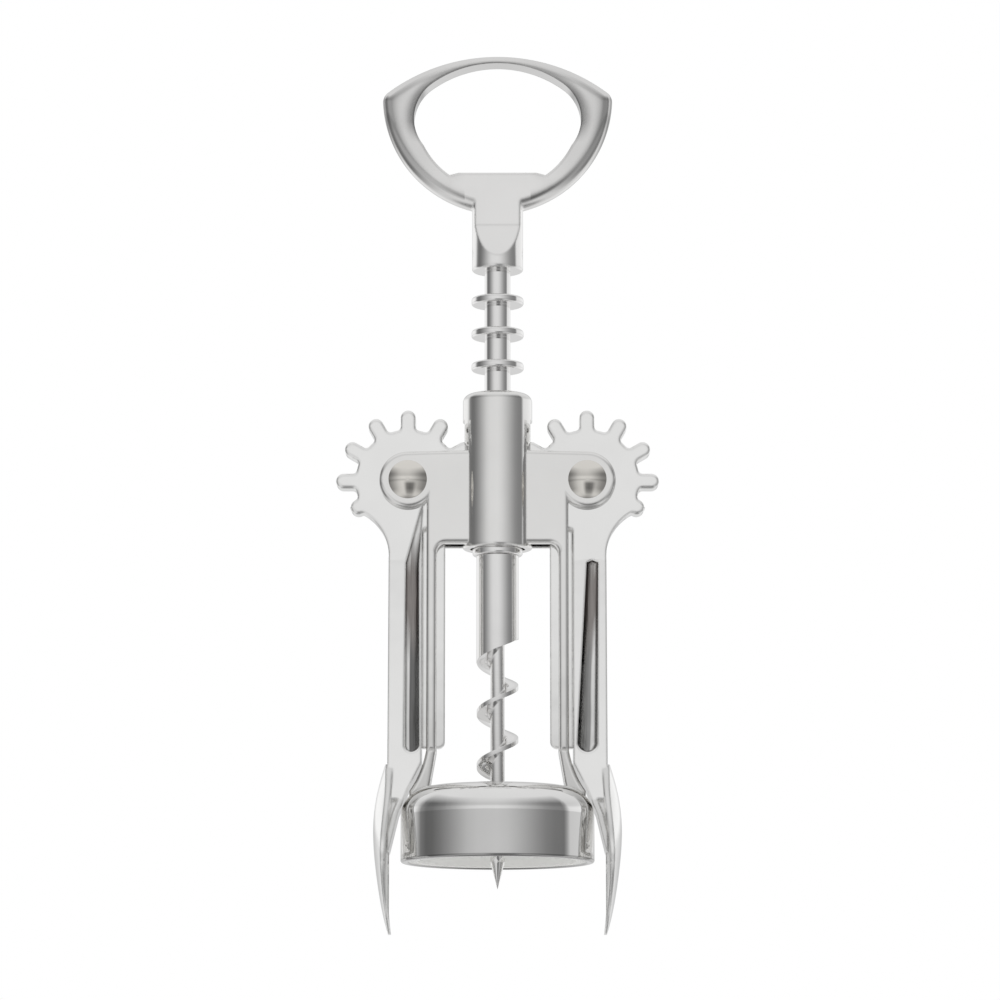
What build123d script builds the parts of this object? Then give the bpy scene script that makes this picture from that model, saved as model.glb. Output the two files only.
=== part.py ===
from build123d import *
import os
from math import ceil, cos, hypot, pi, radians, sin, sqrt

os.makedirs("parts", exist_ok=True)

# A wing corkscrew, standing as it stands on a bottle. The origin is the centre of the bell's rim,
# +Z runs up the worm to the handle, and the levers swing in the XZ plane. Millimetres throughout.

# ---------------------------------------------------------------- driving dimensions

# rack: a round spindle with rings, which works as a rack however far it is turned
ring_pitch = 6.85
ring_radius = 5.35
ring_thickness = 1.6
ring_edge_round = 0.5
shaft_radius = 2.65
ring_count_above = 6
ring_count_below = 2

# gear end of a lever
teeth_per_turn = 12
gear_thickness = 4.2
tooth_width = 3.1
tooth_root_round = 0.9
gear_edge_round = 0.5
tooth_tip_clearance = 0.95
tooth_root_clearance = 2.2
pitch_line_inset = 0.18
last_full_tooth = 6
stub_tooth_angle = 208
stub_tooth_cut = 1.7

# bell and its liner
bell_radius = 19.5
bell_height = 15.4
bell_dome = 0.5
bell_shoulder_round = 5.8
bell_wall = 1.6
bell_rim_round = 0.5
liner_wall = 1.8
liner_top = 2.4
liner_rim_recess = 0.3
liner_hole_clearance = 0.5

# frame: barrel, front and back cheeks, legs and feet
leg_height = 49.1
pivot_above_crosspiece = 13.1
barrel_below_crosspiece = 0.8
barrel_length = 32.05
barrel_radius = 7.1
barrel_bore_clearance = 0.3
barrel_top_round = 1.6
barrel_foot_round = 0.5
slot_side_clearance = 0.15
slot_above_pivot = 12.5
slot_above_barrel_foot = 3.0
cheek_thickness = 1.9
cheek_edge_round = 0.8
cheek_height_at_barrel = 6.1
ear_radius = 5.8
leg_inner_x = 12.35
leg_width = 2.05
window_corner_round = 1.9
foot_height = 6.85
foot_inner_step = 1.4
foot_spread = 3.3
foot_hollow = 0.5
foot_toe_drop = 1.2
tenon_radius = 1.1

# rivets
rivet_radius = 2.0
rivet_head_radius = 3.9
rivet_head_edge = 0.3
rivet_dome_height = 1.4
running_clearance = 0.05

# levers
lever_swing = 108.0
arm_inner_gap = 0.9
arm_width = 6.8
arm_top_below_pivot = 16.15
arm_depth_low = 4.75
arm_depth_bridge = 5.2
sweep_bulge = 3.4
groove_length = 38.4
groove_foot_above_crease = 1.2
groove_draft = 6
groove_floor_round = 0.6
tapered_groove_inset = 1.1
tapered_groove_width = 3.4
tapered_groove_top_inset = 2.9
tapered_groove_top_width = 2.1
tapered_groove_tip_rise = 0.4
edge_groove_inset = 0.8
edge_groove_width = 2.4
edge_groove_tip_rise = 11.5
web_thickness = 2.2
fin_reach = 1.7
fin_above_slot_foot = 0.8
fin_corner_round = 1.4
crease_below_slot = 1.1
bridge_step = 2.8
bridge_slope = 2.0
bell_side_clearance = 0.45
flange_wall = 1.2
flange_foot_inset = 0.3
pocket_height = 10.4
pocket_foot_above_rim = 2.0
rib_inset = 0.3
paddle_below_crease = 1.7
paddle_below_rim = 14.3
paddle_half_width = 8.2
paddle_wall = 1.4
paddle_foot_wall = 0.5
paddle_bulge = 2.9
paddle_outset = 2.15

# spindle collar and worm
collar_radius = 5.1
collar_height = 4.05
collar_play = 0.1
shank_radius = 4.3
shank_length = 16.9
tenon_length = 12.0
rack_tenon_radius = 1.9
worm_core_radius = 1.45
worm_radius = 4.2
worm_pitch = 10.7
flight_root_thickness = 1.5
flight_edge_thickness = 0.9
worm_below_rim = 5.3
worm_point_length = 6.0
worm_taper_length = 9.0
flight_foot_allowance = 0.15

# handle, a crown cap opener
neck_radius = 5.25
neck_gap_at_bottom = 1.25
neck_full_round_length = 2.5
neck_length = 13.2
neck_edge_round = 0.5
ramp_length = 6.8
ramp_middle_depth = 3.75
socket_depth = 7.0
handle_pin_radius = 1.2
handle_thickness = 5.0
handle_half_width = 23.8
handle_corner_drop = 8.5
handle_corner_round = 2.6
side_middle_half_width = 19.1
side_middle_rise = 9.2
grip_foot_drop = 1.1
grip_foot_round = 12.0
lip_depth = 7.2
lip_half_width = 8.0
lip_corner_drop = 0.5
lip_bevel = 1.9
opening_height = 23.45
opening_arch_half_width = 13.5
opening_arch_drop = 4.4
opening_widest_rise = 11.6
waist_inset = 2.0
waist_rise = 5.9
heel_inset = 4.2
heel_rise = 2.5
band_top = 1.8
band_side = 6.5
handle_outer_round = 2.3

# ---------------------------------------------------------------- worked out from them

pitch_radius = ring_pitch * teeth_per_turn / (2 * pi)
pivot_x = pitch_radius + ring_radius - pitch_line_inset
tip_radius = pivot_x - shaft_radius - tooth_tip_clearance
root_radius = pivot_x - ring_radius - tooth_root_clearance
stroke = pitch_radius * radians(lever_swing)
rivet_dome_radius = (rivet_head_radius**2 + rivet_dome_height**2) / (2 * rivet_dome_height)

crosspiece_z = bell_height + leg_height
pivot_z = crosspiece_z + pivot_above_crosspiece
barrel_foot_z = crosspiece_z - barrel_below_crosspiece
barrel_top_z = barrel_foot_z + barrel_length
bore_radius = ring_radius + barrel_bore_clearance
slot_half = gear_thickness / 2 + slot_side_clearance
cheek_face = slot_half + cheek_thickness
leg_outer_x = leg_inner_x + leg_width

first_ring_z = pivot_z + ring_pitch * (0.5 - ring_count_below)
ring_count = ring_count_above + ring_count_below
ring_heights = [first_ring_z + ring_pitch * index for index in range(ring_count)]
collar_top_z = first_ring_z - ring_thickness / 2 - collar_play
collar_foot_z = collar_top_z - collar_height
shank_top_z = collar_foot_z - collar_play
shank_foot_z = shank_top_z - shank_length

neck_foot_z = barrel_top_z + stroke + neck_gap_at_bottom
handle_foot_z = neck_foot_z + neck_length
lip_z = handle_foot_z + lip_depth
opening_top_z = lip_z + opening_height
handle_top_z = opening_top_z + band_top


# ---------------------------------------------------------------- bell

# A pressed cup: a slightly domed top, a large shoulder round and a straight skirt with a rounded
# rim. The worm passes through a hole in its top, and the frame's tenons through two smaller ones.

worm_hole_radius = worm_radius + liner_hole_clearance
foot_x = leg_outer_x + foot_spread / 4


def domed_solid(radius, height, shoulder_round):
    """A solid of revolution with a flat foot, a straight side and a slightly domed top."""
    half_x = radius / 2
    half_z = height - bell_dome / 4
    with BuildPart() as body:
        with BuildSketch(Plane.XZ) as section:
            with BuildLine():
                Polyline((0, height), (0, 0), (radius, 0), (radius, height - bell_dome))
                ThreePointArc((radius, height - bell_dome), (half_x, half_z), (0, height))
            make_face()
            shoulder = section.vertices().group_by(Axis.X)[-1].sort_by(Axis.Y)[-1]
            fillet(shoulder, shoulder_round)
        revolve(axis=Axis.Z)
    return body.part


bell_envelope = domed_solid(bell_radius, bell_height, bell_shoulder_round)
bell_cavity = domed_solid(
    bell_radius - bell_wall, bell_height - bell_wall, bell_shoulder_round - bell_wall
)

with BuildPart() as bell:
    add(bell_envelope)
    add(bell_cavity, mode=Mode.SUBTRACT)
    fillet(bell.edges().filter_by(GeomType.CIRCLE).group_by(Axis.Z)[0], bell_rim_round)
    with Locations((0, 0, bell_height)):
        Hole(radius=worm_hole_radius, depth=bell_height / 2)
    with Locations((foot_x, 0, bell_height), (-foot_x, 0, bell_height)):
        Hole(radius=tenon_radius, depth=bell_height / 2)
bell.part.label = "bell"
export_step(bell.part, "parts/bell.step")

# ---------------------------------------------------------------- bell liner

# A plastic cup pressed into the bell. The bottle's lip stands inside its skirt against its flat
# ceiling, and the hole in the ceiling keeps the worm in the middle of the cork.

liner_radius = bell_radius - bell_wall
liner_height = bell_height - bell_wall - bell_dome
liner_seat_z = liner_height - liner_top
liner_shoulder_round = bell_shoulder_round - bell_wall

with BuildPart() as bell_liner:
    with BuildSketch(Plane.XY.offset(liner_rim_recess)):
        Circle(liner_radius)
        Circle(liner_radius - liner_wall, mode=Mode.SUBTRACT)
    extrude(amount=liner_height - liner_rim_recess)
    with BuildSketch(Plane.XY.offset(liner_seat_z)):
        Circle(liner_radius - liner_wall)
        Circle(worm_hole_radius, mode=Mode.SUBTRACT)
    extrude(amount=liner_top)
    top_rim = bell_liner.edges().filter_by(GeomType.CIRCLE).group_by(Axis.Z)[-1].sort_by(SortBy.RADIUS)[-1]
    fillet(top_rim, liner_shoulder_round)
    with Locations((foot_x, 0, liner_height), (-foot_x, 0, liner_height)):
        Hole(radius=tenon_radius + liner_hole_clearance, depth=liner_top / 2)
bell_liner.part.label = "bell_liner"
export_step(bell_liner.part, "parts/bell_liner.step")

# ---------------------------------------------------------------- rack spindle

# A round rod with a tenon at its foot, rings along it and a plain top that the handle is cast on.

rack_top_z = neck_foot_z + socket_depth
rack_foot_z = shank_top_z - tenon_length

with BuildPart() as rack_spindle:
    with BuildSketch(Plane.XY.offset(shank_top_z)):
        Circle(shaft_radius)
    extrude(amount=rack_top_z - shank_top_z)
    with BuildSketch(Plane.XY.offset(rack_foot_z)):
        Circle(rack_tenon_radius)
    extrude(amount=tenon_length)
    for ring_z in ring_heights:
        with BuildSketch(Plane.XZ):
            with Locations((0, ring_z)):
                Rectangle(ring_radius, ring_thickness, align=(Align.MIN, Align.CENTER))
        revolve(axis=Axis.Z)
    circles = rack_spindle.edges().filter_by(GeomType.CIRCLE)
    rim_edges = circles.filter_by(lambda edge: edge.radius > ring_radius - ring_edge_round)
    fillet(rim_edges, ring_edge_round)
    with Locations(Plane.YZ.offset(neck_radius)):
        with Locations((0, neck_foot_z + socket_depth / 2)):
            Hole(radius=handle_pin_radius, depth=2 * neck_radius)
rack_spindle.part.label = "rack_spindle"
export_step(rack_spindle.part, "parts/rack_spindle.step")

# ---------------------------------------------------------------- spindle collar

# A loose ring round the spindle, held between the lowest ring of the rack and the worm's shank. It
# rides up and down with the spindle, which turns inside it.

with BuildPart() as spindle_collar:
    with BuildSketch(Plane.XY.offset(collar_foot_z)):
        Circle(collar_radius)
        Circle(shaft_radius + running_clearance, mode=Mode.SUBTRACT)
    extrude(amount=collar_height)
    outer_edges = spindle_collar.edges().filter_by(lambda edge: edge.length > 2 * pi * shank_radius)
    fillet(outer_edges, ring_edge_round)
spindle_collar.part.label = "spindle_collar"
export_step(spindle_collar.part, "parts/spindle_collar.step")

# ---------------------------------------------------------------- worm

# The worm is cut from one steel rod: a full-width shank, then a thin right-hand flight round a solid
# core, tapered to a sharp point. The shank's end runs out along the same helix as the flight.

worm_tip_z = -worm_below_rim
flight_top_z = shank_foot_z + flight_edge_thickness
flight_turns = ceil((flight_top_z - worm_tip_z) / worm_pitch)
run_out_turns = 0.5
run_out_height = worm_pitch * run_out_turns + flight_edge_thickness
flight_root_x = worm_core_radius / 2


def core_helix(turns, start_angle):
    """A right-hand helix round the core that ends at the top of the flight."""
    with BuildLine(Plane.XY.offset(flight_top_z - worm_pitch * turns)) as line:
        Helix(pitch=worm_pitch, height=worm_pitch * turns, radius=worm_core_radius)
    return line.line.rotate(Axis.Z, start_angle)


flight_path = core_helix(flight_turns, 0)
run_out_path = core_helix(run_out_turns, 180)
flight_foot_z = flight_top_z - worm_pitch * flight_turns
run_out_foot_z = flight_top_z - worm_pitch * run_out_turns

with BuildPart() as worm_envelope:
    with BuildSketch(Plane.XZ):
        with BuildLine():
            Polyline(
                (0, worm_tip_z),
                (worm_core_radius + flight_foot_allowance, worm_tip_z + worm_point_length),
                (shank_radius, worm_tip_z + worm_point_length + worm_taper_length),
                (shank_radius, shank_top_z),
                (0, shank_top_z),
                close=True,
            )
        make_face()
    revolve(axis=Axis.Z)

with BuildPart() as worm:
    with BuildSketch(Plane.XY.offset(shank_foot_z)):
        Circle(shank_radius)
    extrude(amount=shank_length)
    with BuildSketch(Plane.XY.offset(worm_tip_z)):
        Circle(worm_core_radius)
    extrude(amount=shank_foot_z - worm_tip_z)
    with BuildSketch(Plane.XZ):
        with BuildLine():
            Polyline(
                (flight_root_x, flight_foot_z - flight_root_thickness / 2),
                (worm_radius, flight_foot_z - flight_edge_thickness / 2),
                (worm_radius, flight_foot_z + flight_edge_thickness / 2),
                (flight_root_x, flight_foot_z + flight_root_thickness / 2),
                close=True,
            )
        make_face()
    sweep(path=flight_path, is_frenet=True)
    with BuildSketch(Plane.XZ):
        with BuildLine():
            Polyline(
                (-flight_root_x, run_out_foot_z - flight_root_thickness / 2),
                (-collar_radius, run_out_foot_z - flight_edge_thickness / 2),
                (-collar_radius, run_out_foot_z + run_out_height),
                (-flight_root_x, run_out_foot_z + run_out_height),
                close=True,
            )
        make_face()
    sweep(path=run_out_path, is_frenet=True)
    add(worm_envelope.part, mode=Mode.INTERSECT)
    with Locations((0, 0, shank_top_z)):
        Hole(radius=rack_tenon_radius, depth=tenon_length)
worm.part.label = "worm"
export_step(worm.part, "parts/worm.step")

# ---------------------------------------------------------------- frame

# One casting: the barrel, a front and a back cheek plate that carry the rivets in their ears, and
# legs split by the same slot as the cheeks, so that the levers' fins can lie between them. The legs
# join below the slot into feet that stand on the bell's shoulder, with tenons through its top.

slot_foot_z = bell_height + foot_height
foot_base_z = bell_height - bell_shoulder_round / 2
foot_toe_z = bell_height - foot_toe_drop
foot_inner_x = leg_inner_x + foot_inner_step
foot_outer_x = leg_outer_x + foot_spread
foot_middle_x = (leg_outer_x + foot_outer_x) / 2 - foot_hollow
foot_middle_z = (slot_foot_z + foot_toe_z) / 2
tenon_foot_z = liner_height - liner_top / 3
tenon_height = bell_height - tenon_foot_z
slot_base_z = barrel_foot_z + slot_above_barrel_foot
slot_height = pivot_z + slot_above_pivot - slot_base_z

with BuildPart() as cheek:
    with BuildSketch(Plane.XZ.offset(slot_half)) as cheek_outline:
        with BuildLine():
            Polyline(
                (0, crosspiece_z),
                (leg_inner_x, crosspiece_z),
                (leg_inner_x, slot_foot_z),
                (leg_outer_x, slot_foot_z),
                (leg_outer_x, pivot_z),
                (pivot_x, pivot_z),
                (pivot_x, pivot_z + ear_radius),
                (barrel_radius, pivot_z + cheek_height_at_barrel),
                (0, pivot_z + cheek_height_at_barrel),
                close=True,
            )
        make_face()
        window_corner = cheek_outline.vertices().group_by(Axis.X)[2].sort_by(Axis.Y)[-1]
        fillet(window_corner, window_corner_round)
        with Locations((pivot_x, pivot_z)):
            Circle(ear_radius)
        mirror(about=Plane.YZ)
    extrude(amount=cheek_thickness)
    fillet(cheek.faces().sort_by(Axis.Y)[0].outer_wire().edges(), cheek_edge_round)

with BuildPart() as feet:
    with BuildSketch(Plane.XZ):
        with BuildLine():
            Polyline(
                (leg_outer_x, slot_foot_z),
                (leg_inner_x, slot_foot_z),
                (foot_inner_x, foot_toe_z),
                (foot_inner_x, foot_base_z),
                (foot_outer_x, foot_base_z),
                (foot_outer_x, foot_toe_z),
            )
            ThreePointArc(
                (foot_outer_x, foot_toe_z),
                (foot_middle_x, foot_middle_z),
                (leg_outer_x, slot_foot_z),
            )
        make_face()
        mirror(about=Plane.YZ)
    extrude(amount=cheek_face, both=True)
    front_and_back = feet.faces().filter_by(Axis.Y)
    side_edges = front_and_back.edges().filter_by(lambda edge: edge.bounding_box().size.Z > 1)
    fillet(side_edges, cheek_edge_round)
    add(bell_envelope, mode=Mode.SUBTRACT)

with BuildPart() as frame:
    with BuildSketch(Plane.XY.offset(barrel_foot_z)):
        Circle(barrel_radius)
    extrude(amount=barrel_length)
    fillet(frame.edges().group_by(Axis.Z)[-1], barrel_top_round)
    fillet(frame.edges().group_by(Axis.Z)[0], barrel_foot_round)
    add(cheek.part)
    add(cheek.part.mirror(Plane.XZ))
    add(feet.part)
    with BuildSketch(Plane.XY.offset(tenon_foot_z)):
        with Locations((foot_x, 0), (-foot_x, 0)):
            Circle(tenon_radius)
    extrude(amount=tenon_height)
    with Locations((0, 0, barrel_top_z)):
        Hole(radius=bore_radius, depth=barrel_length)
    with Locations((0, 0, slot_base_z + slot_height / 2)):
        Box(3 * barrel_radius, 2 * slot_half, slot_height, mode=Mode.SUBTRACT)
    with Locations(Plane.XZ.offset(cheek_face)):
        with Locations((pivot_x, pivot_z), (-pivot_x, pivot_z)):
            Hole(radius=rivet_radius, depth=2 * cheek_face)
frame.part.label = "frame"
export_step(frame.part, "parts/frame.step")

# ---------------------------------------------------------------- rivets

# Each lever turns on a steel rivet that is a tight fit in the frame's ears and has a domed head at
# both ends. Its section is drawn standing up, turned about its own axis and laid along Y.

head_edge_y = cheek_face + rivet_head_edge
head_top_y = head_edge_y + rivet_dome_height
dome_middle_x = rivet_head_radius / 2
dome_middle_y = head_top_y - rivet_dome_radius + sqrt(rivet_dome_radius**2 - dome_middle_x**2)

with BuildPart() as rivet:
    with BuildSketch(Plane.XY):
        with BuildLine():
            Polyline(
                (0, head_top_y),
                (0, 0),
                (rivet_radius, 0),
                (rivet_radius, cheek_face),
                (rivet_head_radius, cheek_face),
                (rivet_head_radius, head_edge_y),
            )
            ThreePointArc(
                (rivet_head_radius, head_edge_y),
                (dome_middle_x, dome_middle_y),
                (0, head_top_y),
            )
        make_face()
    revolve(axis=Axis.Y)
    mirror(about=Plane.XZ)

for side_name, side_x in (("left", -pivot_x), ("right", pivot_x)):
    placed_rivet = Pos(side_x, 0, pivot_z) * rivet.part
    placed_rivet.label = f"{side_name}_rivet"
    export_step(placed_rivet, f"parts/{side_name}_rivet.step")

# ---------------------------------------------------------------- levers

# A casting of one piece: a gear with round teeth, a grooved arm that widens downwards, a solid
# bridge over the bell's shoulder, and a spoon-shaped paddle stiffened by a middle web. A thin fin on
# the inside of the arm lies between the frame's legs. Both levers come from the same mould, so the
# left one is the right one turned half a turn about Z.

pocket_top_z = pocket_foot_above_rim + pocket_height
arm_inner_x = leg_outer_x + arm_inner_gap
arm_outer_x = arm_inner_x + arm_width
arm_top_z = pivot_z - arm_top_below_pivot
crease_z = slot_foot_z - crease_below_slot
bridge_corner_z = crease_z - bridge_step / 2
bridge_inner_x = arm_inner_x + bridge_step
bridge_inner_z = bridge_corner_z - bridge_step * bridge_slope
bell_side_x = bell_radius + bell_side_clearance
bell_side_z = bell_height - bell_shoulder_round
paddle_top_z = crease_z - paddle_below_crease
paddle_foot_z = -paddle_below_rim
paddle_length = paddle_top_z - paddle_foot_z
paddle_x = bell_side_x + paddle_outset
flange_foot_x = paddle_x - flange_foot_inset
stub_reach = tip_radius - stub_tooth_cut
web_half = web_thickness / 2

tooth_tips = [(180 - 360 / teeth_per_turn * index, tip_radius) for index in range(last_full_tooth + 1)]
tooth_tips.append((180 - stub_tooth_angle, stub_reach))

# the paddle's stations: height, bulge and edge as shares of its length, bulge and half width
paddle_stations = [
    (1.00, 0.22, 0.10, 0.57),
    (0.83, 0.76, 0.12, 0.73),
    (0.66, 1.00, 0.30, 0.90),
    (0.48, 0.94, 0.44, 1.00),
    (0.31, 0.71, 0.36, 0.95),
    (0.17, 0.44, 0.20, 0.77),
    (0.06, 0.15, 0.04, 0.48),
    (0.00, -0.05, -0.07, 0.20),
]


def paddle_wall_at(height_share):
    """The paddle's wall thickness, which tapers down to its foot."""
    return paddle_foot_wall + (paddle_wall - paddle_foot_wall) * height_share


with BuildPart() as gear:
    with BuildSketch(Plane.XZ) as gear_outline:
        with Locations((pivot_x, pivot_z)):
            Circle(root_radius)
        for angle, reach in tooth_tips:
            with Locations(Location((pivot_x, pivot_z, 0), (0, 0, angle))):
                stem = reach - tooth_width / 2
                Rectangle(stem, tooth_width, align=(Align.MIN, Align.CENTER))
        for angle, reach in tooth_tips:
            with Locations((pivot_x, pivot_z)):
                with PolarLocations(reach - tooth_width / 2, 1, start_angle=angle):
                    Circle(tooth_width / 2)
        on_root = gear_outline.vertices().filter_by(
            lambda vertex: abs(hypot(vertex.X - pivot_x, vertex.Y - pivot_z) - root_radius) < 0.3
        )
        fillet(on_root, tooth_root_round)
    extrude(amount=gear_thickness / 2, both=True)
    fillet(gear.faces().filter_by(Axis.Y).edges(), gear_edge_round)

with BuildPart() as arm:
    with BuildSketch(Plane.XZ):
        with BuildLine():
            Polyline(
                (pivot_x, pivot_z),
                (arm_inner_x, pivot_z),
                (arm_inner_x, bridge_corner_z),
                (bridge_inner_x, bridge_inner_z),
                (bell_side_x, bell_side_z),
                (flange_foot_x, pocket_foot_above_rim),
                (paddle_x, pocket_foot_above_rim),
                (arm_outer_x, crease_z),
                (arm_outer_x, arm_top_z),
            )
            sweep_end = (pivot_x + stub_reach * cos(radians(25)), pivot_z - stub_reach * sin(radians(25)))
            RadiusArc((arm_outer_x, arm_top_z), sweep_end, 3 * sweep_bulge)
            Line(sweep_end, (pivot_x, pivot_z))
        make_face()
    extrude(amount=arm_depth_bridge, both=True)
    with BuildSketch(Plane.YZ) as arm_taper:
        with BuildLine():
            Polyline(
                (0, paddle_foot_z),
                (arm_depth_bridge, paddle_foot_z),
                (arm_depth_bridge, pocket_top_z),
                (arm_depth_low, crease_z),
                (gear_thickness / 2, arm_top_z),
                (gear_thickness / 2, pivot_z + tip_radius),
                (0, pivot_z + tip_radius),
                close=True,
            )
        make_face()
        mirror(about=Plane.YZ)
    extrude(amount=2 * pivot_x, mode=Mode.INTERSECT)

with BuildPart() as paddle:
    for height_share, bulge_share, edge_share, width_share in paddle_stations:
        station_z = paddle_foot_z + paddle_length * height_share
        back_x = paddle_x + (arm_outer_x - paddle_x) * height_share
        bulge_x = back_x + paddle_bulge * bulge_share
        edge_x = back_x + paddle_bulge * edge_share
        half_width = paddle_half_width * width_share
        wall = paddle_wall_at(height_share)
        with BuildSketch(Plane.XY.offset(station_z)):
            with BuildLine():
                ThreePointArc((edge_x, -half_width), (bulge_x, 0), (edge_x, half_width))
                Line((edge_x, half_width), (edge_x - wall, half_width))
                ThreePointArc(
                    (edge_x - wall, half_width), (bulge_x - wall, 0), (edge_x - wall, -half_width)
                )
                Line((edge_x - wall, -half_width), (edge_x, -half_width))
            make_face()
    loft()

fin_inner_x = leg_inner_x - fin_reach
fin_foot_z = slot_foot_z + fin_above_slot_foot
groove_foot_z = crease_z + groove_foot_above_crease
rib_back = [
    (
        paddle_x + paddle_bulge * bulge_share - paddle_wall_at(height_share) / 2,
        paddle_foot_z + paddle_length * height_share,
    )
    for height_share, bulge_share, edge_share, width_share in paddle_stations[:-1]
]

with BuildPart() as middle_web:
    with BuildSketch(Plane.XZ):
        with BuildLine():
            Polyline(
                (paddle_x - paddle_wall / 2, crease_z),
                (bell_side_x, pocket_top_z),
                (flange_foot_x, pocket_foot_above_rim),
                (paddle_x - rib_inset, paddle_foot_z),
                *reversed(rib_back),
                close=True,
            )
        make_face()
    with BuildSketch(Plane.XZ) as fin_outline:
        with BuildLine():
            Polyline(
                (pivot_x, pivot_z),
                (pivot_x, fin_foot_z),
                (fin_inner_x, fin_foot_z),
                (fin_inner_x, pivot_z),
                close=True,
            )
        make_face()
        fillet(fin_outline.vertices().group_by(Axis.Y)[0].sort_by(Axis.X)[0], fin_corner_round)
    extrude(amount=web_half, both=True)


def groove(foot_x, foot_width, top_x, top_width, tip, face_side):
    """A groove with a round foot and a pointed top in one face of the arm, down to its web."""
    foot_radius = foot_width / 2
    side_foot_z = groove_foot_z + foot_radius
    side_top_z = groove_foot_z + groove_length
    with BuildPart(mode=Mode.PRIVATE) as cutter:
        with BuildSketch(Plane.XZ.offset(-face_side * web_half)):
            with BuildLine():
                Polyline(
                    (foot_x, side_foot_z),
                    (top_x, side_top_z),
                    tip,
                    (top_x + top_width, side_top_z),
                    (foot_x + foot_width, side_foot_z),
                )
                ThreePointArc(
                    (foot_x + foot_width, side_foot_z),
                    (foot_x + foot_radius, groove_foot_z),
                    (foot_x, side_foot_z),
                )
            make_face()
        extrude(amount=-face_side * arm_depth_bridge, taper=-groove_draft)
    return cutter.part


tapered_groove = groove(
    arm_inner_x + tapered_groove_inset,
    tapered_groove_width,
    arm_inner_x + tapered_groove_top_inset,
    tapered_groove_top_width,
    (
        arm_inner_x + tapered_groove_top_inset + tapered_groove_top_width / 2,
        groove_foot_z + groove_length + tapered_groove_tip_rise,
    ),
    -1,
)
tapered_groove = fillet(tapered_groove.faces().sort_by(Axis.Y)[-1].edges(), groove_floor_round)
edge_groove = groove(
    arm_inner_x + edge_groove_inset,
    edge_groove_width,
    arm_inner_x + edge_groove_inset,
    edge_groove_width,
    (arm_inner_x, groove_foot_z + groove_length + edge_groove_tip_rise),
    1,
)

with BuildPart() as right_lever:
    add(arm.part)
    with BuildSketch(Plane.XZ) as pocket:
        with BuildLine():
            Polyline(
                (bell_side_x + flange_wall, bell_side_z),
                (flange_foot_x + flange_wall, pocket_foot_above_rim),
                (flange_foot_x + flange_wall, paddle_foot_z),
                (2 * arm_outer_x, paddle_foot_z),
                (2 * arm_outer_x, pocket_top_z),
                (bell_side_x, pocket_top_z),
                close=True,
            )
        make_face()
    extrude(amount=arm_depth_bridge, both=True, mode=Mode.SUBTRACT)
    add(gear.part)
    add(middle_web.part)
    add(paddle.part)
    add(tapered_groove, mode=Mode.SUBTRACT)
    add(edge_groove, mode=Mode.SUBTRACT)
    with Locations(Plane.XZ.offset(arm_depth_bridge)):
        with Locations((pivot_x, pivot_z)):
            Hole(radius=rivet_radius + running_clearance, depth=2 * arm_depth_bridge)
right_lever.part.label = "right_lever"
export_step(right_lever.part, "parts/right_lever.step")

left_lever = Rot(0, 0, 180) * right_lever.part
left_lever.label = "left_lever"
export_step(left_lever, "parts/left_lever.step")

# ---------------------------------------------------------------- handle

# A flat grip cast on the spindle's top. Its opening has a straight lip that lifts crown caps, and it
# narrows below into a round neck, flattened in front and behind by hollow ramps.

corner_z = handle_top_z - handle_corner_drop
side_middle_z = handle_foot_z + side_middle_rise
grip_foot_z = handle_foot_z - grip_foot_drop
ramp_foot_z = neck_foot_z + neck_full_round_length
ramp_top_z = ramp_foot_z + ramp_length
ramp_middle_z = (ramp_foot_z + ramp_top_z) / 2
neck_top_z = handle_foot_z + lip_depth / 2
half_thickness = handle_thickness / 2
opening_half_width = handle_half_width - band_side
arch_corner_z = opening_top_z - opening_arch_drop
widest_z = lip_z + opening_widest_rise
waist_x = opening_half_width - waist_inset
waist_z = lip_z + waist_rise
heel_x = opening_half_width - heel_inset
heel_z = lip_z + heel_rise
lip_corner_x = lip_half_width + lip_bevel
lip_corner_z = lip_z - lip_corner_drop

with BuildPart() as neck:
    with BuildSketch(Plane.XY.offset(neck_foot_z)):
        Circle(neck_radius)
    extrude(amount=neck_top_z - neck_foot_z)
    fillet(neck.edges().group_by(Axis.Z)[0], neck_edge_round)
    with BuildSketch(Plane.YZ):
        with BuildLine():
            Polyline(
                (half_thickness, neck_top_z),
                (0, neck_top_z),
                (0, neck_foot_z),
                (neck_radius, neck_foot_z),
                (neck_radius, ramp_foot_z),
            )
            ThreePointArc(
                (neck_radius, ramp_foot_z),
                (ramp_middle_depth, ramp_middle_z),
                (half_thickness, ramp_top_z),
            )
            Line((half_thickness, ramp_top_z), (half_thickness, neck_top_z))
        make_face()
        mirror(about=Plane.YZ)
    extrude(amount=neck_radius, both=True, mode=Mode.INTERSECT)

with BuildPart() as opening:
    with BuildSketch(Plane.XZ):
        with BuildLine():
            Polyline((0, lip_z), (lip_half_width, lip_z), (lip_corner_x, lip_corner_z))
            ThreePointArc((lip_corner_x, lip_corner_z), (heel_x, heel_z), (waist_x, waist_z))
            ThreePointArc(
                (waist_x, waist_z),
                (opening_half_width, widest_z),
                (opening_arch_half_width, arch_corner_z),
            )
            mirror(about=Plane.YZ)
            ThreePointArc(
                (-opening_arch_half_width, arch_corner_z),
                (0, opening_top_z),
                (opening_arch_half_width, arch_corner_z),
            )
        make_face()
    extrude(amount=handle_thickness, both=True)

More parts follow.
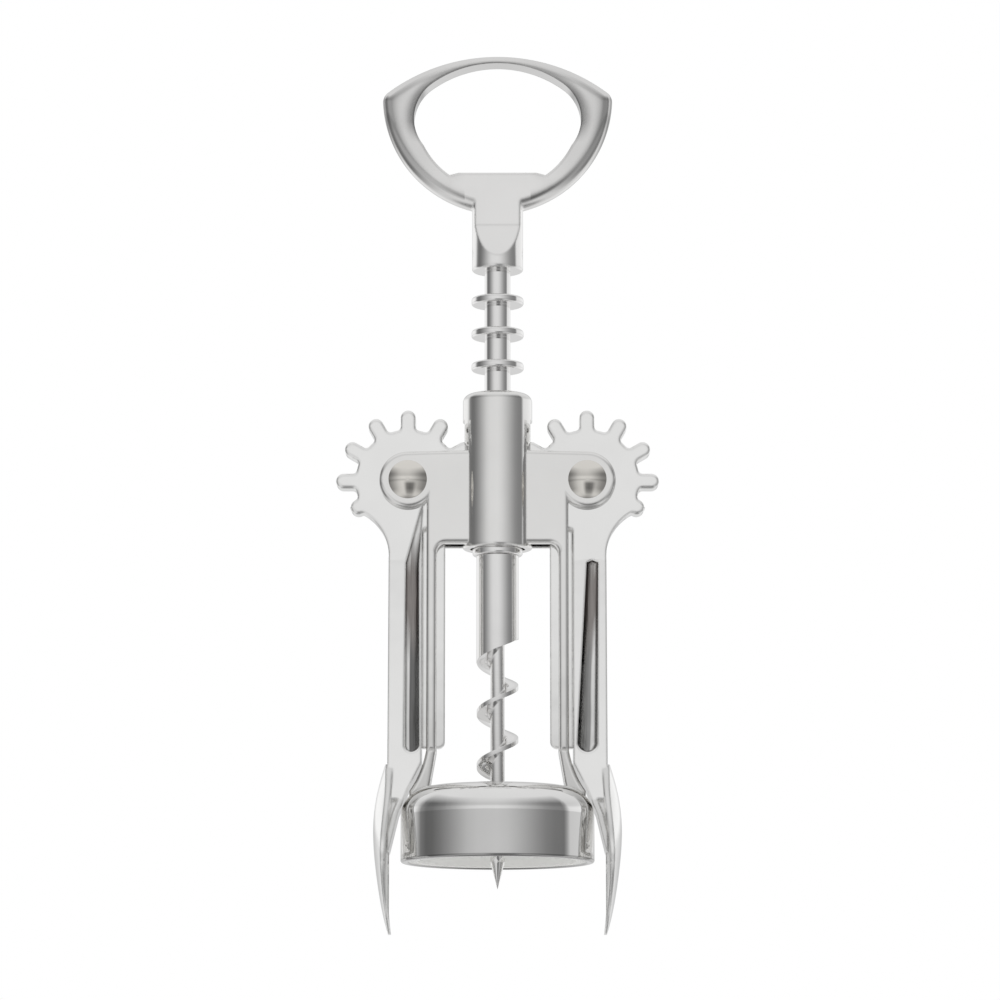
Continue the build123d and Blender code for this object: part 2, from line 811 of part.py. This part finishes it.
with BuildPart() as handle:
    with BuildSketch(Plane.XZ) as grip_outline:
        with BuildLine():
            ThreePointArc((-handle_half_width, corner_z), (0, handle_top_z), (handle_half_width, corner_z))
            ThreePointArc(
                (handle_half_width, corner_z),
                (side_middle_half_width, side_middle_z),
                (0, grip_foot_z),
            )
            ThreePointArc(
                (0, grip_foot_z),
                (-side_middle_half_width, side_middle_z),
                (-handle_half_width, corner_z),
            )
        make_face()
        fillet(grip_outline.vertices().group_by(Axis.Y)[-1], handle_corner_round)
        fillet(grip_outline.vertices().group_by(Axis.Y)[0], grip_foot_round)
    extrude(amount=half_thickness, both=True)
    fillet(handle.faces().filter_by(Axis.Y).edges(), handle_outer_round)
    add(opening.part, mode=Mode.SUBTRACT)
    add(neck.part)
    with Locations((0, 0, neck_foot_z)):
        Hole(radius=shaft_radius, depth=socket_depth)
    with Locations(Plane.YZ.offset(neck_radius)):
        with Locations((0, neck_foot_z + socket_depth / 2)):
            Hole(radius=handle_pin_radius, depth=2 * neck_radius)
handle.part.label = "handle"
export_step(handle.part, "parts/handle.step")

# ---------------------------------------------------------------- handle pin

# A pin across the neck that keeps the handle from turning on the spindle. Its ends are dressed
# flush with the neck.

with BuildPart() as handle_pin:
    with BuildSketch(Plane.YZ):
        with Locations((0, neck_foot_z + socket_depth / 2)):
            Circle(handle_pin_radius)
    extrude(amount=neck_radius, both=True)
    with BuildSketch(Plane.XY.offset(neck_foot_z)):
        Circle(neck_radius)
    extrude(amount=socket_depth, mode=Mode.INTERSECT)
handle_pin.part.label = "handle_pin"
export_step(handle_pin.part, "parts/handle_pin.step")
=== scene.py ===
from math import pi, radians

import bmesh
import bpy
from mathutils import Matrix, Vector

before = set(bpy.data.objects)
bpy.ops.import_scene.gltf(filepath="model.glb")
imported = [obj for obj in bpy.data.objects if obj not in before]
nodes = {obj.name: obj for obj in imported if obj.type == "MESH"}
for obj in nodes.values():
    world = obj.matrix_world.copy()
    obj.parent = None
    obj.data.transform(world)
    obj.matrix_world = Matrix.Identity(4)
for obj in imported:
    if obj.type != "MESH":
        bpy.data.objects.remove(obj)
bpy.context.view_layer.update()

# ---- Camera and studio
# A camera on a low stand looks up a little at the corkscrew from well back. White light comes evenly
# from all round. Polished metal also mirrors the room: light grey walls in front and behind, dark
# cards at both sides, and white paper behind the cards.

camera_distance = 0.8
camera_rise = radians(9.5)
look_at = Vector((0.0005, 0.0, 0.0740))
lens_length, sensor_width = 141.1, 36
camera_data = bpy.data.cameras.new("camera")
camera_data.lens = lens_length
camera_data.sensor_width = sensor_width
camera = bpy.data.objects.new("camera", camera_data)
bpy.context.scene.collection.objects.link(camera)
turn = Matrix.Rotation(radians(90) + camera_rise, 4, "X")
back_away = Matrix.Translation((0, 0, camera_distance))
camera.matrix_world = Matrix.Translation(look_at) @ turn @ back_away
bpy.context.scene.camera = camera
bpy.context.scene.view_settings.view_transform = "Standard"
# polished pieces that stand close together mirror each other many times over
mirror_bounces = 16
bpy.context.scene.cycles.max_bounces = mirror_bounces
bpy.context.scene.cycles.glossy_bounces = mirror_bounces

# grey level of the room in each direction round the tool: 0 degrees is towards the camera, and
# positive angles are to the right
levels_around = [
    (-180, 0.72), (-162, 0.76), (-148, 0.98), (-125, 0.96), (-116, 0.85), (-110, 0.55),
    (-104, 0.26), (-94, 0.17), (-84, 0.18), (-72, 0.26), (-60, 0.38), (-48, 0.53),
    (-36, 0.69), (-24, 0.77), (0, 0.79), (12, 0.74), (24, 0.64), (36, 0.52),
    (48, 0.40), (60, 0.30), (72, 0.25), (86, 0.23), (91, 0.45), (96, 0.82),
    (148, 0.98), (162, 0.76), (180, 0.72),
]
# how the level changes with the height of the direction over the horizon, in degrees
levels_upwards = [
    (-90, 0.30), (-66, 0.35), (-56, 0.85), (-45, 0.95), (-2, 1.00), (2.5, 0.78), (5, 0.76),
    (7.5, 1.00), (12, 1.02), (15, 1.00), (18, 0.84), (24, 0.78), (34, 0.88), (50, 1.00), (90, 1.03),
]
# towards the ceiling and the floor the room is the same all round
even_level = 0.79
even_from, even_to = radians(26), radians(50)
# the camera and its stand are dark, lower than the tool
stand_around = [(-18, 0.0), (-4, 0.9), (8, 1.0), (20, 0.9), (36, 0.0)]
stand_upwards = [(-64, 0.0), (-46, 0.75), (-30, 1.0), (-12, 0.95), (2, 0.0)]
stand_level = 0.15


def add_node(tree, kind, links=(), **settings):
    """Adds a shader node, sets its properties, and links or fills the named or numbered inputs."""
    node = tree.nodes.new(kind)
    for name, value in settings.items():
        setattr(node, name, value)
    for place, source in links:
        if isinstance(source, bpy.types.NodeSocket):
            tree.links.new(source, node.inputs[place])
        else:
            node.inputs[place].default_value = source
    return node


def maths(tree, operation, *sources):
    """A Math node on one to three values, and its result."""
    node = add_node(tree, "ShaderNodeMath", enumerate(sources), operation=operation)
    return node.outputs[0]


def split_axes(tree, vector):
    """The X, Y and Z parts of a vector."""
    return add_node(tree, "ShaderNodeSeparateXYZ", [(0, vector)]).outputs


def fade(tree, source, low, high, start=0.0, end=1.0):
    """A value that goes from start to end while the source goes from low to high, and stays there."""
    node = add_node(tree, "ShaderNodeMapRange", enumerate((source, low, high, start, end)))
    return node.outputs[0]


def grey(level):
    """A grey colour."""
    return (level, level, level, 1)


def grey_ramp(tree, source, stops):
    """A colour ramp of grey levels over a value from 0 to 1."""
    node = add_node(tree, "ShaderNodeValToRGB", [(0, source)])
    elements = node.color_ramp.elements
    while len(elements) < len(stops):
        elements.new(0.5)
    for element, (place, level) in zip(elements, stops):
        element.position = place
        element.color = grey(level)
    return node.outputs["Color"]


def blend_colours(tree, kind, factor, first, second):
    """A Mix node on two colours, which are its inputs 6 and 7, and its result."""
    links = [(0, factor), (6, first), (7, second)]
    node = add_node(tree, "ShaderNodeMix", links, data_type="RGBA", blend_type=kind)
    return node.outputs[2]


world = bpy.data.worlds.new("studio")
bpy.context.scene.world = world
world.use_nodes = True
studio = world.node_tree
studio.nodes.clear()
direction = add_node(studio, "ShaderNodeTexCoord").outputs["Generated"]
to_right, to_back, to_top = split_axes(studio, direction)
to_camera = maths(studio, "MULTIPLY", to_back, -1.0)
azimuth = maths(studio, "ARCTAN2", to_right, to_camera)
azimuth_share = maths(studio, "MULTIPLY_ADD", azimuth, 1 / (2 * pi), 0.5)
elevation = maths(studio, "ARCSINE", to_top)
elevation_share = maths(studio, "MULTIPLY_ADD", elevation, 1 / pi, 0.5)


def ramp_around(stops):
    """Grey levels over the azimuth."""
    return grey_ramp(studio, azimuth_share, [(angle / 360 + 0.5, level) for angle, level in stops])


def ramp_upwards(stops):
    """Grey levels over the elevation."""
    return grey_ramp(studio, elevation_share, [(angle / 180 + 0.5, level) for angle, level in stops])


steepness = fade(studio, maths(studio, "ABSOLUTE", elevation), even_from, even_to)
walls = blend_colours(studio, "MIX", steepness, ramp_around(levels_around), grey(even_level))
# a ramp holds no level over 1, so it is filled with shares of the brightest one
brightest = max(level for angle, level in levels_upwards)
upwards = ramp_upwards([(angle, level / brightest) for angle, level in levels_upwards])
room_shares = blend_colours(studio, "MULTIPLY", 1.0, walls, upwards)
room = add_node(studio, "ShaderNodeVectorMath", [(0, room_shares), (3, brightest)], operation="SCALE")
stand_mask = maths(studio, "MULTIPLY", ramp_around(stand_around), ramp_upwards(stand_upwards))
room_and_stand = blend_colours(studio, "MIX", stand_mask, room.outputs[0], grey(stand_level))
metal_ray = add_node(studio, "ShaderNodeLightPath").outputs["Is Glossy Ray"]
studio_light = blend_colours(studio, "MIX", metal_ray, grey(1.0), room_and_stand)
background = add_node(studio, "ShaderNodeBackground", [(0, studio_light)])
add_node(studio, "ShaderNodeOutputWorld", [(0, background.outputs[0])])

# ---- Table
# A round white laminate table top, a little lower than the camera. It is the floor that the tool is
# shown over. Polished metal mirrors the room beyond it.

table_height = -0.06
table_radius = 0.4
laminate_colour = (0.86, 0.86, 0.85, 1)
laminate_roughness = 0.55
table_mesh = bmesh.new()
bmesh.ops.create_circle(table_mesh, cap_ends=True, segments=128, radius=table_radius)
bmesh.ops.translate(table_mesh, verts=table_mesh.verts, vec=(0, 0, table_height))
table_data = bpy.data.meshes.new("table_top")
table_mesh.to_mesh(table_data)
table_mesh.free()
table_top = bpy.data.objects.new("table_top", table_data)
bpy.context.scene.collection.objects.link(table_top)
laminate = bpy.data.materials.new("white_laminate")
laminate.use_nodes = True
tree = laminate.node_tree
laminate_shader = tree.nodes["Principled BSDF"]
laminate_shader.inputs["Base Color"].default_value = laminate_colour
laminate_shader.inputs["Roughness"].default_value = laminate_roughness
clear = add_node(tree, "ShaderNodeBsdfTransparent")
rays = add_node(tree, "ShaderNodeLightPath")
clear_in_metal = add_node(
    tree,
    "ShaderNodeMixShader",
    [(0, rays.outputs["Is Glossy Ray"]), (1, laminate_shader.outputs[0]), (2, clear.outputs[0])],
)
tree.links.new(clear_in_metal.outputs[0], tree.nodes["Material Output"].inputs["Surface"])
table_data.materials.append(laminate)

# ---- Bell
# The bell is pressed from steel sheet, polished and chromed. The press leaves a faint waviness. It
# carries the frame and stands over the bottle.

bell_tint = (0.87, 0.866, 0.86, 1)
# painted shade: a thin dark line is painted round the bell's lowest edge, next to the liner
painted_rim_line_height = 0.0006
painted_rim_shade = grey(0.5)


def object_place(tree):
    """The place on the piece, in its own axes."""
    return add_node(tree, "ShaderNodeTexCoord").outputs["Object"]


def noise(tree, place, scale, detail):
    """A Noise Texture over the place, and its value."""
    links = [("Vector", place), ("Scale", scale), ("Detail", detail)]
    return add_node(tree, "ShaderNodeTexNoise", links).outputs[0]


def bump(tree, height, distance, normal):
    """A Bump node over another normal, and its result."""
    links = [("Height", height), ("Distance", distance), ("Normal", normal)]
    return add_node(tree, "ShaderNodeBump", links).outputs[0]


# Chrome plate: rounded edges, a slow waviness, fine polishing lines and thin wiped smears. Noise
# squeezed sideways is drawn out into lines round the piece.
line_squeeze = (0.06, 0.06, 1.0)
smear_scale = 90.0
smear_from, smear_to = 0.5, 0.75
smear_shades = [(0.3, 0.96), (0.7, 1.0)]
plate_values = {
    "Edge Round": 0.0002,
    "Wave Scale": 150.0,
    "Wave Height": 0.00001,
    "Line Scale": 3000.0,
    "Line Height": 0.0,
    "Clean Roughness": 0.05,
    "Smear Roughness": 0.12,
}
plate_results = {"Roughness": "NodeSocketFloat", "Shade": "NodeSocketColor", "Normal": "NodeSocketVector"}
plate = bpy.data.node_groups.new("chrome_plate", "ShaderNodeTree")
for value_name, value in plate_values.items():
    value_socket = plate.interface.new_socket(value_name, in_out="INPUT", socket_type="NodeSocketFloat")
    value_socket.default_value = value
for result_name, socket_type in plate_results.items():
    plate.interface.new_socket(result_name, in_out="OUTPUT", socket_type=socket_type)
given = plate.nodes.new("NodeGroupInput").outputs
results = plate.nodes.new("NodeGroupOutput").inputs

plate_place = object_place(plate)
soft_edge = add_node(plate, "ShaderNodeBevel", [("Radius", given["Edge Round"])], samples=6)
waves = noise(plate, plate_place, given["Wave Scale"], detail=1.0)
wavy = bump(plate, waves, given["Wave Height"], soft_edge.outputs[0])
squeezed = add_node(plate, "ShaderNodeMapping", [("Vector", plate_place), ("Scale", line_squeeze)])
lines = noise(plate, squeezed.outputs[0], given["Line Scale"], detail=2.0)
lined = bump(plate, lines, given["Line Height"], wavy)
smears = noise(plate, plate_place, smear_scale, detail=5.0)
smear_share = fade(plate, smears, smear_from, smear_to)
plate_roughness = fade(plate, smear_share, 0.0, 1.0, given["Clean Roughness"], given["Smear Roughness"])
plate_shade = grey_ramp(plate, smears, smear_shades)
plate.links.new(plate_roughness, results["Roughness"])
plate.links.new(plate_shade, results["Shade"])
plate.links.new(lined, results["Normal"])


def chrome(name, tint, **values):
    """A chromed metal: the plate group with its own values under a metallic shader."""
    material = bpy.data.materials.new(name)
    material.use_nodes = True
    tree = material.node_tree
    shader = tree.nodes["Principled BSDF"]
    shader.inputs["Metallic"].default_value = 1.0
    surface = add_node(tree, "ShaderNodeGroup", node_tree=plate)
    for value_name, value in values.items():
        surface.inputs[value_name.replace("_", " ").title()].default_value = value
    colour = blend_colours(tree, "MULTIPLY", 1.0, surface.outputs["Shade"], tint)
    tree.links.new(colour, shader.inputs["Base Color"])
    tree.links.new(surface.outputs["Roughness"], shader.inputs["Roughness"])
    tree.links.new(surface.outputs["Normal"], shader.inputs["Normal"])
    return material


def source_of(shader, input_name):
    """What a shader's input is linked to."""
    return shader.inputs[input_name].links[0].from_socket


def put_on(material, *node_names):
    """Puts one material on pieces of the frame."""
    for node_name in node_names:
        mesh = nodes[node_name].data
        mesh.materials.clear()
        mesh.materials.append(material)


pressed_chrome = chrome(
    "pressed_chrome",
    bell_tint,
    edge_round=0.0002,
    wave_scale=70.0,
    wave_height=0.00002,
    clean_roughness=0.03,
    smear_roughness=0.06,
)
tree = pressed_chrome.node_tree
bell_shader = tree.nodes["Principled BSDF"]
bell_z = split_axes(tree, object_place(tree))["Z"]
# the painted shade along the bell's lower rim
painted_rim_line = maths(tree, "LESS_THAN", bell_z, painted_rim_line_height)
plated_colour = source_of(bell_shader, "Base Color")
bell_colour = blend_colours(tree, "MULTIPLY", painted_rim_line, plated_colour, painted_rim_shade)
tree.links.new(bell_colour, bell_shader.inputs["Base Color"])
put_on(pressed_chrome, "bell")

# ---- Bell liner
# A moulded ring of white plastic pushed up inside the bell, where the bottle's lip meets it. It is
# satin from its mould, with fine flow marks.

liner_white = (0.95, 0.95, 0.94, 1)
liner_shadow = (0.90, 0.90, 0.885, 1)
liner_smooth, liner_rough = 0.38, 0.52
flow_mark_scale, grain_scale = 120.0, 2500.0
grain_height, grain_strength = 0.00002, 0.5
liner_plastic = bpy.data.materials.new("liner_plastic")
liner_plastic.use_nodes = True
tree = liner_plastic.node_tree
liner_shader = tree.nodes["Principled BSDF"]
liner_place = object_place(tree)
flow_marks = noise(tree, liner_place, flow_mark_scale, detail=4.0)
liner_colour = blend_colours(tree, "MIX", flow_marks, liner_white, liner_shadow)
liner_roughness = fade(tree, flow_marks, 0.0, 1.0, liner_smooth, liner_rough)
mould_grain = noise(tree, liner_place, grain_scale, detail=2.0)
grained = add_node(
    tree,
    "ShaderNodeBump",
    [("Height", mould_grain), ("Distance", grain_height), ("Strength", grain_strength)],
)
tree.links.new(liner_colour, liner_shader.inputs["Base Color"])
tree.links.new(liner_roughness, liner_shader.inputs["Roughness"])
tree.links.new(grained.outputs[0], liner_shader.inputs["Normal"])
put_on(liner_plastic, "bell_liner")

# ---- Frame
# The frame is one zinc casting: barrel, cheeks, legs and feet, polished and chromed. Polishing has
# softened its edges, and the plate over the casting is a little wavy.

frame_tint = (0.86, 0.855, 0.845, 1)
cast_chrome = chrome(
    "cast_chrome",
    frame_tint,
    edge_round=0.0005,
    wave_scale=180.0,
    wave_height=0.00003,
    clean_roughness=0.04,
    smear_roughness=0.08,
)
put_on(cast_chrome, "frame")

# ---- Rivets
# The levers turn on steel rivets with domed heads. They are polished but unplated, so they look a
# little warmer than the chrome round them.

steel_tint = (0.80, 0.775, 0.73, 1)
rivet_steel = chrome(
    "rivet_steel",
    steel_tint,
    edge_round=0.0001,
    wave_scale=250.0,
    wave_height=0.00002,
    clean_roughness=0.04,
    smear_roughness=0.08,
)
put_on(rivet_steel, "left_rivet", "right_rivet")

# ---- Levers
# Each lever is a zinc casting, chromed all over. The polishing wheel reaches its outside, but not
# the grooves, whose hollow floors keep the rough grey skin of the mould under a thin plate.

lever_tint = (0.93, 0.928, 0.92, 1)
# the grooves' floors: how far they lie from the lever's middle plane, and where they are on the arm
groove_floor_depth = 0.0021
groove_half_width = 0.0020
groove_foot_z, groove_end_z = 0.022, 0.074
edge_groove_x = 0.0173
# the tapered groove leans outwards on its way up
tapered_groove_x = 0.01743
tapered_groove_lean = 0.03
# a floor rises by this times the square of the distance from its middle, both in metres
floor_hollow = 380.0
# the rough skin shows between the smooth foot and the bare upper end, with ragged ends
rough_from_z, rough_to_z = 0.041, 0.050
bare_from_z, bare_to_z = 0.058, 0.068
ragged_length = 0.016
skin_colour = (0.43, 0.40, 0.385, 1)
skin_streak_shade = grey(0.6)
skin_roughness = 0.34
skin_height = 0.00008
# streaks run along the arm
streak_squeeze = (1.0, 1.0, 0.07)
fine_streak_scale, broad_streak_scale = 2200.0, 700.0
streak_wander = 0.0009
# painted shade on the deep groove floors, darker in the edge groove than in the tapered one
edge_groove_painted_shade = grey(0.20)
tapered_groove_painted_shade = grey(0.36)
# the painted shade lifts on the outer side of each floor, the side that lies away from the spindle
outer_floor_from, outer_floor_to = 0.0003, 0.0006
lifted_painted_shade = grey(0.90)
# the upper ends of the grooves run out into the arm
shallow_from_z, shallow_to_z = 0.059, 0.067


def blend_values(tree, factor, first, second):
    """A Mix node on two values, which are its inputs 2 and 3, and its result."""
    links = [(0, factor), (2, first), (3, second)]
    return add_node(tree, "ShaderNodeMix", links, data_type="FLOAT").outputs[0]


def nearer_than(tree, value, limit):
    """1 where the value is nearer to 0 than the limit, on either side of it."""
    return maths(tree, "LESS_THAN", maths(tree, "ABSOLUTE", value), limit)


lever_chrome = chrome(
    "lever_chrome",
    lever_tint,
    edge_round=0.0007,
    wave_scale=160.0,
    wave_height=0.00003,
    clean_roughness=0.045,
    smear_roughness=0.09,
)
tree = lever_chrome.node_tree
lever_shader = tree.nodes["Principled BSDF"]
lever_place = object_place(tree)
lever_x, lever_y, lever_z = split_axes(tree, lever_place)

# a lever has its edge groove on the face where X times Y is positive, its tapered one on the other
face_side = maths(tree, "MULTIPLY", lever_x, lever_y)
on_edge_face = maths(tree, "GREATER_THAN", face_side, 0.0)
tapered_middle = maths(tree, "MULTIPLY_ADD", lever_z, tapered_groove_lean, tapered_groove_x)
groove_middle = blend_values(tree, on_edge_face, tapered_middle, edge_groove_x)
off_middle = maths(tree, "SUBTRACT", maths(tree, "ABSOLUTE", lever_x), groove_middle)
in_groove = nearer_than(tree, lever_y, groove_floor_depth)
for inside in (
    nearer_than(tree, off_middle, groove_half_width),
    maths(tree, "GREATER_THAN", lever_z, groove_foot_z),
    maths(tree, "LESS_THAN", lever_z, groove_end_z),
):
    in_groove = maths(tree, "MULTIPLY", in_groove, inside)

# the floor is hollow up to its outer side, and its streaks wander
squeezed = add_node(tree, "ShaderNodeMapping", [("Vector", lever_place), ("Scale", streak_squeeze)])
fine_streaks = noise(tree, squeezed.outputs[0], fine_streak_scale, detail=4.0)
broad_streaks = noise(tree, squeezed.outputs[0], broad_streak_scale, detail=2.0)
wandering = maths(tree, "MULTIPLY_ADD", broad_streaks, streak_wander, off_middle)
off_streak = maths(tree, "SUBTRACT", wandering, streak_wander / 2)
hollow_side = maths(tree, "MINIMUM", off_streak, outer_floor_from)
hollow_square = maths(tree, "MULTIPLY", hollow_side, hollow_side)
shallow = fade(tree, lever_z, shallow_from_z, shallow_to_z)
still_deep = maths(tree, "SUBTRACT", 1.0, shallow)
hollow_height = maths(tree, "MULTIPLY", maths(tree, "MULTIPLY", hollow_square, floor_hollow), still_deep)
floor_height = maths(tree, "MULTIPLY", hollow_height, in_groove)
hollowed = bump(tree, floor_height, distance=1.0, normal=source_of(lever_shader, "Normal"))

# the rough skin of the mould
above_foot = maths(tree, "SUBTRACT", lever_z, ragged_length / 2)
ragged_z = maths(tree, "MULTIPLY_ADD", broad_streaks, ragged_length, above_foot)
skin_starts = fade(tree, ragged_z, rough_from_z, rough_to_z)
skin_ends = fade(tree, ragged_z, bare_from_z, bare_to_z, start=1.0, end=0.0)
on_skin = maths(tree, "MULTIPLY", in_groove, maths(tree, "MULTIPLY", skin_starts, skin_ends))
skin_tone = blend_colours(tree, "MULTIPLY", fine_streaks, skin_colour, skin_streak_shade)
skin_streaks = maths(tree, "MULTIPLY", fine_streaks, on_skin)
rough_skin = bump(tree, skin_streaks, skin_height, hollowed)
lever_roughness = blend_values(tree, on_skin, source_of(lever_shader, "Roughness"), skin_roughness)

# painted shade on the floor: darkest where it is deep, lighter on its outer side and towards its shallow
# upper end
painted_shade_lift = fade(tree, off_streak, outer_floor_from, outer_floor_to)
groove_painted_shade = blend_colours(tree, "MIX", on_edge_face, tapered_groove_painted_shade, edge_groove_painted_shade)
deep_painted_shade = blend_colours(tree, "MIX", shallow, groove_painted_shade, lifted_painted_shade)
floor_painted_shade = blend_colours(tree, "MIX", painted_shade_lift, deep_painted_shade, lifted_painted_shade)
plated_colour = source_of(lever_shader, "Base Color")
floor_colour_with_painted_shade = blend_colours(tree, "MULTIPLY", in_groove, plated_colour, floor_painted_shade)
lever_colour = blend_colours(tree, "MIX", on_skin, floor_colour_with_painted_shade, skin_tone)
tree.links.new(lever_colour, lever_shader.inputs["Base Color"])
tree.links.new(lever_roughness, lever_shader.inputs["Roughness"])
tree.links.new(rough_skin, lever_shader.inputs["Normal"])
put_on(lever_chrome, "left_lever", "right_lever")

# ---- Spindle, collar and worm
# These are turned from steel bar and chromed. The lathe leaves fine rings round them, which soften
# the reflections along the spindle and the shank.

turned_tint = (0.87, 0.865, 0.86, 1)
turned_chrome = chrome(
    "turned_chrome",
    turned_tint,
    edge_round=0.00012,
    wave_scale=300.0,
    wave_height=0.000008,
    line_scale=4000.0,
    line_height=0.0000015,
    clean_roughness=0.04,
    smear_roughness=0.08,
)
put_on(turned_chrome, "rack_spindle", "spindle_collar", "worm", "handle_pin")

# ---- Handle
# The handle is a zinc casting like the frame, polished all round the grip and chromed. A steel pin
# through its neck holds it on the spindle.

handle_tint = (0.88, 0.874, 0.867, 1)
# the grip is all that lies beside the neck or above it
neck_half_width = 0.0068
neck_top_z = 0.15
# painted shade: the grip beside and above the flat lip over the neck is painted darker, fading in at both
# sides of the lip
lip_from_x, lip_to_x = 0.009, 0.015
grip_painted_shade = grey(0.89)
# painted shade: the grip is crowned, and is painted darker where its crown turns away and at its sideways
# rim
crown_width = 0.0045
crown_painted_shade = grey(0.36)
# how far the surface tilts, as a sine, where each shade starts and where it is full
outer_tilt = (0.04, 0.42)
lower_tilt = (0.10, 0.45)
inner_tilt = (0.08, 0.40)
rim_tilt = (0.74, 0.90)
# the inner shade keeps to the upper part of the grip, and all but the rim's to its flat faces
high_grip_from_z, high_grip_to_z = 0.1485, 0.153
flat_face_tilt = (0.86, 0.98)


def own_axes(tree, normal):
    """A normal's parts in the piece's own axes, so that the shading turns with the piece."""
    turned_normal = add_node(tree, "ShaderNodeVectorTransform", [(0, normal)], vector_type="NORMAL")
    return split_axes(tree, turned_normal.outputs[0])


handle_chrome = chrome(
    "handle_chrome",
    handle_tint,
    edge_round=0.0008,
    wave_scale=110.0,
    wave_height=0.00004,
    clean_roughness=0.045,
    smear_roughness=0.09,
)
tree = handle_chrome.node_tree
handle_shader = tree.nodes["Principled BSDF"]
handle_axes = split_axes(tree, object_place(tree))
handle_x, handle_z = handle_axes["X"], handle_axes["Z"]
off_axis = maths(tree, "ABSOLUTE", handle_x)
above_neck = maths(tree, "GREATER_THAN", handle_z, neck_top_z)
beside_neck = maths(tree, "GREATER_THAN", off_axis, neck_half_width)
on_grip = maths(tree, "MAXIMUM", beside_neck, above_neck)
beside_lip = fade(tree, off_axis, lip_from_x, lip_to_x)
off_lip = maths(tree, "MAXIMUM", beside_lip, above_neck)

crown = add_node(tree, "ShaderNodeBevel", [("Radius", crown_width)], samples=12)
crown_tilt = own_axes(tree, crown.outputs[0])
outwards = maths(tree, "MULTIPLY", crown_tilt["X"], maths(tree, "SIGN", handle_x))
inwards = maths(tree, "MULTIPLY", outwards, -1.0)
downwards = maths(tree, "MULTIPLY", crown_tilt["Z"], -1.0)
outer_shade = fade(tree, outwards, *outer_tilt)
lower_shade = fade(tree, downwards, *lower_tilt)
high_grip = fade(tree, handle_z, high_grip_from_z, high_grip_to_z)
inner_shade = maths(tree, "MULTIPLY", fade(tree, inwards, *inner_tilt), high_grip)
face_shade = maths(tree, "MAXIMUM", maths(tree, "MAXIMUM", outer_shade, lower_shade), inner_shade)

surface_normal = add_node(tree, "ShaderNodeNewGeometry").outputs["Normal"]
surface_tilt = own_axes(tree, surface_normal)
on_face = fade(tree, maths(tree, "ABSOLUTE", surface_tilt["Y"]), *flat_face_tilt)
rim_shade = fade(tree, maths(tree, "ABSOLUTE", surface_tilt["X"]), *rim_tilt)
crown_share = maths(tree, "MAXIMUM", maths(tree, "MULTIPLY", face_shade, on_face), rim_shade)
painted_crown_shade_mask = maths(tree, "MULTIPLY", crown_share, on_grip)
polished_colour = source_of(handle_shader, "Base Color")
# the grip's painted shade, which leaves the lip over the neck brighter
grip_colour_with_painted_shade = blend_colours(tree, "MULTIPLY", off_lip, polished_colour, grip_painted_shade)
# painted shade over the grip's crown and rim
handle_colour = blend_colours(tree, "MULTIPLY", painted_crown_shade_mask, grip_colour_with_painted_shade, crown_painted_shade)
tree.links.new(handle_colour, handle_shader.inputs["Base Color"])
put_on(handle_chrome, "handle")
